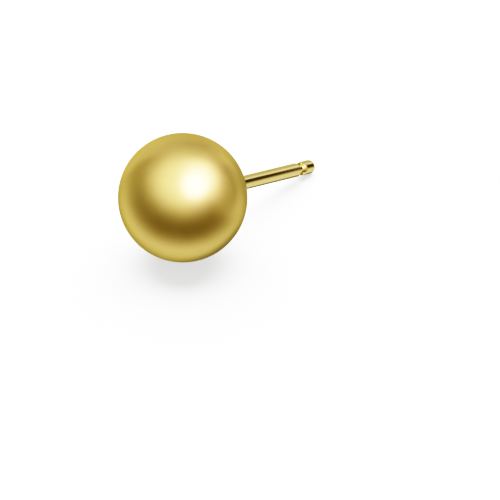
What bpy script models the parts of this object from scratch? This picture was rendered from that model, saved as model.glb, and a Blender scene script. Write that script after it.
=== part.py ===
"""Ball stud earring: a round gold ball on a straight wire post with a snap notch.

Metres, +Z up. The stud lies as it does on a table, on its ball and on the tip of its post.
The front of the ball faces -Y, the post runs back along +Y, and X = 0 is its plane of symmetry.
"""
from math import asin, atan2, cos, hypot, pi, radians, sin

import bmesh
import bpy

MM = 0.001

# Ball
BALL_RADIUS = 4.0 * MM
BALL_RINGS = 28
BALL_SEGMENTS = 56

# Post, a wire whose inner end sits in the bore of the ball
POST_RADIUS = 0.44 * MM
POST_LENGTH = 9.5 * MM          # from the back of the ball to the tip
PEG_DEPTH = 2.0 * MM            # from the back of the ball to the inner end
PEG_CHAMFER = 0.08 * MM
TIP_ROUNDING = 0.30 * MM        # leaves a small flat at the very end
POST_STEPS = 24

# Snap notch, a groove with a flat floor and square sides
NOTCH_FROM_TIP = 1.19 * MM      # from the tip to the nearest side of the groove
NOTCH_WIDTH = 0.50 * MM
NOTCH_DEPTH = 0.15 * MM
CORNER_RADIUS = 0.03 * MM       # where the floor meets the sides
SHOULDER_RADIUS = 0.03 * MM     # the edge on the side of the ball

# Crown of the head, which narrows towards the notch
CROWN_RADIUS = 0.70 * MM
CROWN_ANGLE = radians(22)

# Bore in the ball
BORE_CLEARANCE = 0.03 * MM      # round the peg and below its end
BORE_STEPS = 24

# Points on each round stretch of the post's outline
TIP_POINTS = 6
CROWN_POINTS = 4
EDGE_POINTS = 2

# Finish: colour, roughness
SATIN_GOLD = ((0.83, 0.66, 0.28), 0.32)
POLISHED_GOLD = ((0.86, 0.70, 0.32), 0.12)

# Distances along the post's axis from the ball's centre
TIP_AT = BALL_RADIUS + POST_LENGTH
PEG_END_AT = BALL_RADIUS - PEG_DEPTH
HEAD_AT = TIP_AT - NOTCH_FROM_TIP
SHAFT_END_AT = HEAD_AT - NOTCH_WIDTH
TIP_CENTRE_AT = TIP_AT - TIP_ROUNDING
TIP_FLAT_RADIUS = POST_RADIUS - TIP_ROUNDING


def clear_scene():
    for old in list(bpy.data.objects):
        bpy.data.objects.remove(old, do_unlink=True)


def new_collection(name):
    collection = bpy.data.collections.new(name)
    bpy.context.scene.collection.children.link(collection)
    return collection


def metal(name, finish):
    colour, roughness = finish
    material = bpy.data.materials.new(name)
    material.use_nodes = True
    shader = material.node_tree.nodes["Principled BSDF"]
    shader.inputs["Base Color"].default_value = (*colour, 1.0)
    shader.inputs["Metallic"].default_value = 1.0
    shader.inputs["Roughness"].default_value = roughness
    return material


def move_to(collection, piece):
    for holder in list(piece.users_collection):
        holder.objects.unlink(piece)
    collection.objects.link(piece)


def arc(radius_at, along_at, radius, start, end, points):
    """Outline points on an arc. Angles are measured from the post's axis, which points to the tip."""
    steps = [start + (end - start) * i / points for i in range(points + 1)]
    return [(radius_at + radius * sin(angle), along_at + radius * cos(angle)) for angle in steps]


def notch_outline():
    """The crown of the head, the groove and the end of the shaft: arc, two corners, shoulder."""
    crown_at = HEAD_AT + CROWN_RADIUS * sin(CROWN_ANGLE)
    corner = POST_RADIUS - NOTCH_DEPTH + CORNER_RADIUS
    shoulder = POST_RADIUS - SHOULDER_RADIUS
    return (
        arc(POST_RADIUS - CROWN_RADIUS, crown_at, CROWN_RADIUS, pi / 2, pi / 2 + CROWN_ANGLE, CROWN_POINTS)
        + arc(corner, HEAD_AT - CORNER_RADIUS, CORNER_RADIUS, 0, -pi / 2, EDGE_POINTS)
        + arc(corner, SHAFT_END_AT + CORNER_RADIUS, CORNER_RADIUS, -pi / 2, -pi, EDGE_POINTS)
        + arc(shoulder, SHAFT_END_AT - SHOULDER_RADIUS, SHOULDER_RADIUS, 0, pi / 2, EDGE_POINTS)
    )


def post_outline():
    """Half of the post's section, from the middle of the tip down its outer side to the inner end."""
    tip = arc(TIP_FLAT_RADIUS, TIP_CENTRE_AT, TIP_ROUNDING, 0, pi / 2, TIP_POINTS)
    peg_end = [
        (POST_RADIUS, PEG_END_AT + PEG_CHAMFER),
        (POST_RADIUS - PEG_CHAMFER, PEG_END_AT),
    ]
    return [(0, TIP_AT)] + tip + notch_outline() + peg_end + [(0, PEG_END_AT)]


def turned(name, outline, steps):
    """A body turned about Z from an outline of (radius, height) points that runs down its outer side."""
    shape = bmesh.new()
    corners = [shape.verts.new((radius, 0, height)) for radius, height in outline]
    for upper, lower in zip(corners, corners[1:]):
        shape.edges.new((upper, lower))
    mesh = bpy.data.meshes.new(name)
    shape.to_mesh(mesh)
    shape.free()
    piece = bpy.data.objects.new(name, mesh)
    screw = piece.modifiers.new("Turn", "SCREW")
    screw.axis = "Z"
    screw.steps = steps
    screw.render_steps = steps
    screw.use_merge_vertices = True
    screw.merge_threshold = 0.001 * MM
    screw.use_smooth_shade = True
    return piece


def bore_cutter(collection):
    """A drill that reaches from outside the back of the ball to just past the end of the peg."""
    bottom = PEG_END_AT - BORE_CLEARANCE
    top = BALL_RADIUS + POST_RADIUS
    bpy.ops.mesh.primitive_cylinder_add(
        vertices=BORE_STEPS,
        radius=POST_RADIUS + BORE_CLEARANCE,
        depth=top - bottom,
        location=(0, 0, (top + bottom) / 2),
    )
    cutter = bpy.context.object
    cutter.name = "bore_cutter"
    cutter.hide_render = True
    cutter.display_type = "WIRE"
    move_to(collection, cutter)
    return cutter


def make_ball(collection, cutter):
    bpy.ops.mesh.primitive_uv_sphere_add(segments=BALL_SEGMENTS, ring_count=BALL_RINGS, radius=BALL_RADIUS)
    ball = bpy.context.object
    ball.name = "ball"
    ball.data.materials.append(metal("satin_gold", SATIN_GOLD))
    ball.data.shade_smooth()
    # Half a step puts the middle of a flat, not a ridge, at the lowest point
    ball.rotation_euler.z = pi / BALL_SEGMENTS
    drilled = ball.modifiers.new("Bore", "BOOLEAN")
    drilled.operation = "DIFFERENCE"
    drilled.solver = "EXACT"
    drilled.object = cutter
    move_to(collection, ball)
    return ball


def make_post(collection):
    post = turned("post", post_outline(), POST_STEPS)
    post.data.materials.append(metal("polished_gold", POLISHED_GOLD))
    post.rotation_euler.z = pi / POST_STEPS
    collection.objects.link(post)
    return post


def droop():
    """The angle below level at which the rounded tip just touches the floor that the ball stands on."""
    reach = hypot(TIP_CENTRE_AT, TIP_FLAT_RADIUS)
    lean = atan2(TIP_FLAT_RADIUS, TIP_CENTRE_AT)
    return asin((BALL_RADIUS - TIP_ROUNDING) / reach) - lean


def lay_down(pieces, collection):
    """Turn the upright pieces to lie along +Y, with the middle of the whole length at Y = 0."""
    angle = droop()
    back = TIP_CENTRE_AT * cos(angle) + TIP_FLAT_RADIUS * sin(angle) + TIP_ROUNDING
    stand = bpy.data.objects.new("stand", None)
    collection.objects.link(stand)
    stand.location = (0, (BALL_RADIUS - back) / 2, BALL_RADIUS)
    stand.rotation_euler.x = -(pi / 2 + angle)
    for piece in pieces:
        piece.parent = stand


def main():
    clear_scene()
    earring = new_collection("ball_stud_earring")
    cutters = new_collection("cutters")
    cutter = bore_cutter(cutters)
    ball = make_ball(earring, cutter)
    post = make_post(earring)
    lay_down([ball, post, cutter], earring)


main()
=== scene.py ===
"""Looks of the ball stud earring: a satin gold ball and a bright drawn gold post on a white floor.

Metres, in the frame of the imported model. The front of the ball faces -Y, the post runs back
along +Y and droops until its tip touches the floor, and X = 0 is the plane of symmetry.
"""
from math import asin, atan2, cos, hypot, pi, radians, sin, sqrt, tau

import bpy
from mathutils import Matrix, Vector

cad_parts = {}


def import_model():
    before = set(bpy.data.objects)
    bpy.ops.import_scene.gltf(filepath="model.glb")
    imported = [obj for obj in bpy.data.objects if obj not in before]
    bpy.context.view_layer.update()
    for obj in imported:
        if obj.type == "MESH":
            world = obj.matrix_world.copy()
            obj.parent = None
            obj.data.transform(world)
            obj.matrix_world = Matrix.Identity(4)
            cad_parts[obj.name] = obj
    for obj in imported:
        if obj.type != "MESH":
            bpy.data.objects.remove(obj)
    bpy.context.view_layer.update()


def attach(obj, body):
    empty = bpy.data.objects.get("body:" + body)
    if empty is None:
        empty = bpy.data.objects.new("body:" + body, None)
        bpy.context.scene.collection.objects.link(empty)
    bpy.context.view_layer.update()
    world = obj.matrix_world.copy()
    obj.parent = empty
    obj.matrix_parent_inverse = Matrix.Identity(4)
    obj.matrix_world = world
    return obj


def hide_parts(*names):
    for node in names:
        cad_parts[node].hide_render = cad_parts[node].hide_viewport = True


MM = 0.001

# Ball
BALL_RADIUS = 4.0 * MM
BALL_RINGS = 144
BALL_STEPS = 256

# Bore in the back of the ball
BORE_CLEARANCE = 0.03 * MM
MOUTH_ROUNDING = 0.05 * MM
MOUTH_POINTS = 8

# Post
POST_RADIUS = 0.44 * MM
POST_LENGTH = 9.5 * MM          # from the back of the ball to the tip
PEG_DEPTH = 2.0 * MM            # from the back of the ball to the inner end
PEG_CHAMFER = 0.08 * MM
TIP_ROUNDING = 0.30 * MM
TIP_POINTS = 24
POST_STEPS = 128

# Snap notch, a groove with a flat floor and square sides
NOTCH_FROM_TIP = 1.19 * MM      # from the tip to the nearest side of the groove
NOTCH_WIDTH = 0.50 * MM
NOTCH_DEPTH = 0.15 * MM
CORNER_RADIUS = 0.03 * MM       # where the floor meets the sides
SHOULDER_RADIUS = 0.03 * MM     # the edge on the side of the ball
EDGE_POINTS = 8

# Crown of the head, which narrows towards the notch
CROWN_RADIUS = 0.70 * MM
CROWN_ANGLE = radians(22)
CROWN_POINTS = 16

# An edge that bends by more than this stays sharp
SHARP_ANGLE = radians(40)

# Camera: degrees round from the front, degrees above the floor, and a long lens
VIEW_AZIMUTH = 38.2
VIEW_ELEVATION = 30.8
LENS = 400.0
SENSOR = 36.0
CLIP_RATIO = 100                # how much nearer or farther than the earring a thing may be to show

# Square picture, with the place of the ball's centre from its left and from its top
FRAME_PIXELS = 500
PIXELS_PER_METRE = 16215
BALL_PIXEL_X = 182.68
BALL_PIXEL_Y = 197.64

# Satin gold of the ball: darkest and lightest colour, smoothest and roughest, clouds, fine grain
SATIN_COLOURS = ((0.81, 0.69, 0.325), (0.85, 0.73, 0.36))
SATIN_ROUGHNESS = (0.31, 0.35)
SATIN_CLOUD = 1.5 * MM
SATIN_CLOUD_DETAIL = 2
SATIN_GRAIN = 0.06 * MM
SATIN_GRAIN_DETAIL = 3
SATIN_GRAIN_HEIGHT = 0.0006 * MM

# Polished gold of the wire, with the fine lines that its drawing left along it
WIRE_COLOURS = ((0.99, 0.89, 0.53), (1.0, 0.92, 0.575))
WIRE_ROUGHNESS = (0.10, 0.14)
WIRE_LINE = 0.05 * MM
WIRE_LINE_DETAIL = 2
WIRE_LINE_STRETCH = 40
WIRE_LINE_HEIGHT = 0.0002 * MM

# Both golds: tint at a glancing angle, and the middle half of the noise that varies them
EDGE_TINT = (0.43, 0.40, 0.23)
NOISE_MIDDLE = (0.25, 0.75)

# White of the surroundings and of the floor
WHITE = (1.0, 1.0, 1.0, 1.0)

# Studio light. Each soft light: degrees right and up from the camera's place, half width of
# its even middle, width of its soft edge, strength, colour
SOFT_LIGHTS = [
    (0.5, 29, 24, 58, 1.51, (1.0, 1.06, 1.26)),
    (45, 35, 5, 40, 1.25, (1.0, 0.94, 1.60)),
    (21.5, 18.5, 14.5, 10.5, 2.25, (1.0, 0.94, 1.60)),
    (-2, 135.5, 41, 10, 0.57, (1.0, 1.06, 1.24)),
    (93, 20, 40.5, 10, 0.46, (1.0, 1.02, 1.08)),
    (-115, 21, 2, 76, 0.39, (1.0, 1.06, 1.12)),
    (3, -150, 38, 46, 1.09, (1.0, 1.06, 1.25)),
]
ROOM_COLOUR = (0.405, 0.29, 0.0)

# Dark cards before the lights, of which the wire shows the first three as one dark line. Each:
# degrees right and up from the camera's place, half width of its even middle, width of its soft
# edge, how much it covers
DARK_CARDS = [
    (108.6, 28.5, 4, 5, 1.0),
    (105.6, 18, 5, 6, 1.0),
    (105.1, 8, 2, 9, 0.75),
    (122, 54, 5, 14, 0.25),
    (180, 74, 10, 20, 0.12),
    (144, 12, 7, 14, 0.3),
    (164, -22, 8, 13, 0.5),
    (-80, 0, 4, 16, 0.15),
]
CARD_COLOUR = (0.10, 0.06, 0.0)

# Lamps that light the ball alone, where the first cards take its light and behind its upper rim.
# Each: degrees right and up from the camera's place, degrees across, strength, colour
BALL_LAMPS = [
    (105.5, 18, 26, 0.06, (1.0, 0.92, 0.66)),
    (178, 34, 54, 0.18, (1.0, 1.0, 1.4)),
]

# Tone curve of the picture: share of the white level in the scene, brightness in the picture
WHITE_LEVEL = 3.0
COMBINED_CURVE = 3              # the curve for red, green and blue together
TONE_CURVE = [
    (0.05, 0.033),
    (0.10, 0.11),
    (0.17, 0.26),
    (0.25, 0.45),
    (0.33, 0.63),
    (0.43, 0.80),
    (0.57, 0.925),
    (0.73, 0.983),
]

# Floor
FLOOR_SIZE = 0.5
FLOOR_GLOW = 1.05
FLOOR_PAINT = 0.08

# Sun behind the earring, as the camera sees it, that the floor alone catches
SUN_ELEVATION = 55
SUN_SIZE = 80
SUN_STRENGTH = 60


def add_object(name, data):
    added = bpy.data.objects.new(name, data)
    bpy.context.scene.collection.objects.link(added)
    return added


def arc(radius_at, along_at, radius, start, end, points):
    """Outline points on an arc. Its angles start at the post's axis, which points to the tip."""
    steps = [start + (end - start) * i / points for i in range(points + 1)]
    return [(radius_at + radius * sin(angle), along_at + radius * cos(angle)) for angle in steps]


def notch_outline(head_at):
    """The crown of the head, the groove and the end of the shaft: arc, two corners, shoulder."""
    shaft_end_at = head_at - NOTCH_WIDTH
    crown_at = head_at + CROWN_RADIUS * sin(CROWN_ANGLE)
    corner = POST_RADIUS - NOTCH_DEPTH + CORNER_RADIUS
    shoulder = POST_RADIUS - SHOULDER_RADIUS
    crown_end = pi / 2 + CROWN_ANGLE
    return (
        arc(POST_RADIUS - CROWN_RADIUS, crown_at, CROWN_RADIUS, pi / 2, crown_end, CROWN_POINTS)
        + arc(corner, head_at - CORNER_RADIUS, CORNER_RADIUS, 0, -pi / 2, EDGE_POINTS)
        + arc(corner, shaft_end_at + CORNER_RADIUS, CORNER_RADIUS, -pi / 2, -pi, EDGE_POINTS)
        + arc(shoulder, shaft_end_at - SHOULDER_RADIUS, SHOULDER_RADIUS, 0, pi / 2, EDGE_POINTS)
    )


def post_outline():
    """Half of the post's section, from the middle of the tip down its side to the inner end."""
    tip_at = BALL_RADIUS + POST_LENGTH
    peg_end_at = BALL_RADIUS - PEG_DEPTH
    flat_radius = POST_RADIUS - TIP_ROUNDING
    tip = arc(flat_radius, tip_at - TIP_ROUNDING, TIP_ROUNDING, 0, pi / 2, TIP_POINTS)
    notch = notch_outline(tip_at - NOTCH_FROM_TIP)
    peg_end = [
        (POST_RADIUS, peg_end_at + PEG_CHAMFER),
        (POST_RADIUS - PEG_CHAMFER, peg_end_at),
    ]
    return [(0, tip_at)] + tip + notch + peg_end + [(0, peg_end_at)]


def ball_outline():
    """Half of the ball's section, from the bottom of the bore over its mouth down to the front."""
    bore_radius = POST_RADIUS + BORE_CLEARANCE
    bottom = BALL_RADIUS - PEG_DEPTH - BORE_CLEARANCE
    mouth_radius = bore_radius + MOUTH_ROUNDING
    mouth_at = sqrt((BALL_RADIUS - MOUTH_ROUNDING) ** 2 - mouth_radius ** 2)
    lean = atan2(mouth_radius, mouth_at)
    mouth = arc(mouth_radius, mouth_at, MOUTH_ROUNDING, -pi / 2, lean, MOUTH_POINTS)
    round_side = arc(0, 0, BALL_RADIUS, lean, pi, BALL_RINGS)[1:-1]
    return [(0, bottom), (bore_radius, bottom)] + mouth + round_side + [(0, -BALL_RADIUS)]


def ring_points(rings, steps):
    """The points of all rings about Z, one ring after the other."""
    angles = [tau * step / steps for step in range(steps)]
    return [
        (radius * cos(angle), radius * sin(angle), along)
        for radius, along in rings
        for angle in angles
    ]


def ring_faces(count, steps):
    """Faces from the first point over all rings to the last point."""
    last = 1 + count * steps
    base = last - steps
    faces = []
    for step in range(steps):
        after = (step + 1) % steps
        faces.append((0, 1 + step, 1 + after))
        for ring in range(count - 1):
            here = 1 + ring * steps
            below = here + steps
            faces.append((here + step, below + step, below + after, here + after))
        faces.append((base + step, last, base + after))
    return faces


def turned(name, outline, steps):
    """A piece turned about Z from an outline whose first and last points lie on the axis."""
    rings = outline[1:-1]
    first = (0, 0, outline[0][1])
    last = (0, 0, outline[-1][1])
    mesh = bpy.data.meshes.new(name)
    mesh.from_pydata([first, *ring_points(rings, steps), last], [], ring_faces(len(rings), steps))
    mesh.shade_smooth()
    mesh.set_sharp_from_angle(angle=SHARP_ANGLE)
    return add_object(name, mesh)


def lying():
    """Turns the upright shapes to lie on the ball and the tip, with the length centred on Y = 0."""
    tip_centre_at = BALL_RADIUS + POST_LENGTH - TIP_ROUNDING
    tip_flat_radius = POST_RADIUS - TIP_ROUNDING
    reach = hypot(tip_centre_at, tip_flat_radius)
    angle = asin((BALL_RADIUS - TIP_ROUNDING) / reach) - atan2(tip_flat_radius, tip_centre_at)
    back = tip_centre_at * cos(angle) + tip_flat_radius * sin(angle) + TIP_ROUNDING
    place = Matrix.Translation((0, (BALL_RADIUS - back) / 2, BALL_RADIUS))
    return place @ Matrix.Rotation(-(pi / 2 + angle), 4, "X")


def view_axes():
    """The camera's right, up and towards-the-camera directions."""
    azimuth = radians(VIEW_AZIMUTH)
    elevation = radians(VIEW_ELEVATION)
    right = Vector((cos(azimuth), sin(azimuth), 0))
    towards = Vector((
        sin(azimuth) * cos(elevation),
        -cos(azimuth) * cos(elevation),
        sin(elevation),
    ))
    return right, towards.cross(right), towards


def make_camera(ball_centre):
    right, up, towards = view_axes()
    camera_data = bpy.data.cameras.new("camera")
    camera_data.lens = LENS
    camera_data.sensor_width = SENSOR
    distance = FRAME_PIXELS / PIXELS_PER_METRE * LENS / SENSOR
    camera_data.clip_start = distance / CLIP_RATIO
    camera_data.clip_end = distance * CLIP_RATIO
    half = FRAME_PIXELS / 2
    aim = ball_centre
    aim = aim + right * (half - BALL_PIXEL_X) / PIXELS_PER_METRE
    aim = aim + up * (BALL_PIXEL_Y - half) / PIXELS_PER_METRE
    turn = Matrix((right, up, towards)).transposed().to_4x4()
    camera = add_object("camera", camera_data)
    camera.matrix_world = Matrix.Translation(aim + towards * distance) @ turn
    bpy.context.scene.camera = camera


class Nodes:
    """Short calls to add and wire shader nodes.

    An input is named with _ for its spaces, as in Base_Color, or numbered, as in _0.
    """

    def __init__(self, owner):
        owner.use_nodes = True
        self.tree = owner.node_tree
        self.tree.nodes.clear()

    def add(self, kind, settings=None, **inputs):
        node = self.tree.nodes.new(kind)
        for key, value in (settings or {}).items():
            setattr(node, key, value)
        for key, value in inputs.items():
            self.put(node, key, value)
        return node

    def put(self, node, key, value):
        number = key[1:]
        socket = node.inputs[int(number) if number.isdigit() else key.replace("_", " ")]
        if isinstance(value, bpy.types.NodeSocket):
            self.tree.links.new(value, socket)
        else:
            socket.default_value = value


def noise(nodes, place, size, detail):
    """Noise about 0.5 whose spots are about this large."""
    return nodes.add("ShaderNodeTexNoise", Vector=place, Scale=1 / size, Detail=detail).outputs[0]


def spread(nodes, value, lowest, highest):
    """The middle half of the noise, spread from the lowest to the highest number."""
    start, end = NOISE_MIDDLE
    return nodes.add(
        "ShaderNodeMapRange",
        Value=value,
        From_Min=start,
        From_Max=end,
        To_Min=lowest,
        To_Max=highest,
    ).outputs["Result"]


def gold(nodes, cloud, relief, height, colours, roughness):
    """Gold whose colour and roughness follow the cloud and whose surface follows the relief."""
    darkest, lightest = colours
    colour = nodes.add(
        "ShaderNodeMix",
        {"data_type": "RGBA"},
        _0=spread(nodes, cloud, 0.0, 1.0),
        _6=(*darkest, 1.0),
        _7=(*lightest, 1.0),
    )
    bump = nodes.add("ShaderNodeBump", Strength=1.0, Distance=height, Height=relief)
    shader = nodes.add(
        "ShaderNodeBsdfPrincipled",
        Base_Color=colour.outputs[2],
        Metallic=1.0,
        Roughness=spread(nodes, cloud, *roughness),
        Specular_Tint=(*EDGE_TINT, 1.0),
        Normal=bump.outputs["Normal"],
    )
    nodes.add("ShaderNodeOutputMaterial", Surface=shader.outputs["BSDF"])


def satin_gold():
    """Finely blasted gold: faint clouds and a very fine grain."""
    material = bpy.data.materials.new("satin_gold")
    nodes = Nodes(material)
    place = nodes.add("ShaderNodeTexCoord").outputs["Object"]
    cloud = noise(nodes, place, SATIN_CLOUD, SATIN_CLOUD_DETAIL)
    grain = noise(nodes, place, SATIN_GRAIN, SATIN_GRAIN_DETAIL)
    gold(nodes, cloud, grain, SATIN_GRAIN_HEIGHT, SATIN_COLOURS, SATIN_ROUGHNESS)
    return material


def polished_gold(place):
    """Bright wire: fine lines run along its axis."""
    material = bpy.data.materials.new("polished_gold")
    nodes = Nodes(material)
    along_axis = nodes.add(
        "ShaderNodeMapping",
        {"vector_type": "TEXTURE"},
        Vector=nodes.add("ShaderNodeTexCoord").outputs["Object"],
        Location=place.translation,
        Rotation=place.to_euler(),
        Scale=(1, 1, WIRE_LINE_STRETCH),
    )
    lines = noise(nodes, along_axis.outputs[0], WIRE_LINE, WIRE_LINE_DETAIL)
    gold(nodes, lines, lines, WIRE_LINE_HEIGHT, WIRE_COLOURS, WIRE_ROUGHNESS)
    return material


def direction_at(right_angle, up_angle):
    """The direction at these degrees right and up from the camera's place, seen from the ball."""
    right, up, towards = view_axes()
    across = radians(right_angle)
    above = radians(up_angle)
    return right * sin(across) * cos(above) + up * sin(above) + towards * cos(across) * cos(above)


def angle_from(nodes, direction, place):
    """The angle between the direction and the place of a light or card."""
    product = nodes.add(
        "ShaderNodeVectorMath",
        {"operation": "DOT_PRODUCT"},
        _0=direction,
        _1=place,
    )
    return nodes.add(
        "ShaderNodeMath",
        {"operation": "ARCCOSINE"},
        _0=product.outputs["Value"],
    ).outputs[0]


def fade(nodes, angle, middle, edge, full):
    """The full value up to the angle of the middle, and softly down to 0 over the edge's angle."""
    return nodes.add(
        "ShaderNodeMapRange",
        {"interpolation_type": "SMOOTHSTEP"},
        Value=angle,
        From_Min=radians(middle),
        From_Max=radians(middle + edge),
        To_Min=full,
        To_Max=0.0,
    ).outputs["Result"]


def studio(nodes):
    """The light that the metal reflects: the dim room and soft lights, behind the dark cards."""
    direction = nodes.add("ShaderNodeTexCoord").outputs["Generated"]
    total = ROOM_COLOUR
    for right_angle, up_angle, middle, edge, strength, colour in SOFT_LIGHTS:
        angle = angle_from(nodes, direction, direction_at(right_angle, up_angle))
        total = nodes.add(
            "ShaderNodeVectorMath",
            {"operation": "MULTIPLY_ADD"},
            _0=fade(nodes, angle, middle, edge, 1.0),
            _1=[channel * strength for channel in colour],
            _2=total,
        ).outputs["Vector"]
    for right_angle, up_angle, middle, edge, cover in DARK_CARDS:
        angle = angle_from(nodes, direction, direction_at(right_angle, up_angle))
        total = nodes.add(
            "ShaderNodeMix",
            {"data_type": "RGBA"},
            _0=fade(nodes, angle, middle, edge, cover),
            _6=total,
            _7=(*CARD_COLOUR, 1.0),
        ).outputs[2]
    return total


def light_the_room():
    """White for the camera and the floor, the studio for what the metal reflects."""
    world = bpy.data.worlds.new("studio")
    bpy.context.scene.world = world
    nodes = Nodes(world)
    white = nodes.add("ShaderNodeBackground", Color=WHITE, Strength=WHITE_LEVEL)
    reflected = nodes.add("ShaderNodeBackground", Color=studio(nodes), Strength=1.0)
    ray = nodes.add("ShaderNodeLightPath")
    mixed = nodes.add(
        "ShaderNodeMixShader",
        _0=ray.outputs["Is Glossy Ray"],
        _1=white.outputs[0],
        _2=reflected.outputs[0],
    )
    nodes.add("ShaderNodeOutputWorld", Surface=mixed.outputs[0])


def set_tone():
    """The picture's contrast: deep shadows, and highlights that go softly to white."""
    view = bpy.context.scene.view_settings
    view.view_transform = "Standard"
    view.use_curve_mapping = True
    view.curve_mapping.white_level = (WHITE_LEVEL, WHITE_LEVEL, WHITE_LEVEL)
    for scene_share, brightness in TONE_CURVE:
        view.curve_mapping.curves[COMBINED_CURVE].points.new(scene_share, brightness)
    view.curve_mapping.update()


def far_lamp(name, strength, size):
    """A lamp that shines from far away, out of a round patch this many degrees across."""
    lamp_data = bpy.data.lights.new(name, "SUN")
    lamp_data.energy = strength
    lamp_data.angle = radians(size)
    return add_object(name, lamp_data)


def make_sun():
    sun = far_lamp("sun", SUN_STRENGTH, SUN_SIZE)
    sun.rotation_euler = (radians(SUN_ELEVATION - 90), 0, radians(VIEW_AZIMUTH))
    sun.visible_glossy = False


def make_ball_lamps(ball):
    lit = bpy.data.collections.new("lit_by_ball_lamps")
    lit.objects.link(ball)
    for right_angle, up_angle, size, strength, colour in BALL_LAMPS:
        lamp = far_lamp("ball_lamp", strength, size)
        lamp.data.color = colour
        lamp.rotation_euler = direction_at(right_angle, up_angle).to_track_quat("Z", "Y").to_euler()
        lamp.light_linking.receiver_collection = lit


def make_floor():
    half = FLOOR_SIZE / 2
    corners = [(-half, -half, 0), (half, -half, 0), (half, half, 0), (-half, half, 0)]
    mesh = bpy.data.meshes.new("floor")
    mesh.from_pydata(corners, [], [(0, 1, 2, 3)])
    floor = add_object("floor", mesh)
    material = bpy.data.materials.new("floor")
    nodes = Nodes(material)
    glow = nodes.add("ShaderNodeEmission", Color=WHITE, Strength=FLOOR_GLOW)
    paint = nodes.add("ShaderNodeBsdfDiffuse", Color=(FLOOR_PAINT, FLOOR_PAINT, FLOOR_PAINT, 1.0))
    both = nodes.add("ShaderNodeAddShader", _0=glow.outputs[0], _1=paint.outputs[0])
    nodes.add("ShaderNodeOutputMaterial", Surface=both.outputs[0])
    mesh.materials.append(material)
    floor.visible_glossy = False


def make_piece(name, outline, steps, place, material, node):
    """A turned piece that lies in the place of its node and shows instead of it."""
    piece = turned(name, outline, steps)
    piece.data.transform(place)
    piece.data.materials.append(material)
    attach(piece, "root")
    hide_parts(node)
    return piece


def main():
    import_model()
    set_tone()
    place = lying()
    satin = satin_gold()
    polished = polished_gold(place)
    ball = make_piece("satin_ball", ball_outline(), BALL_STEPS, place, satin, "ball")
    make_piece("wire_post", post_outline(), POST_STEPS, place, polished, "post")
    make_floor()
    light_the_room()
    make_sun()
    make_ball_lamps(ball)
    make_camera(place.translation)


main()
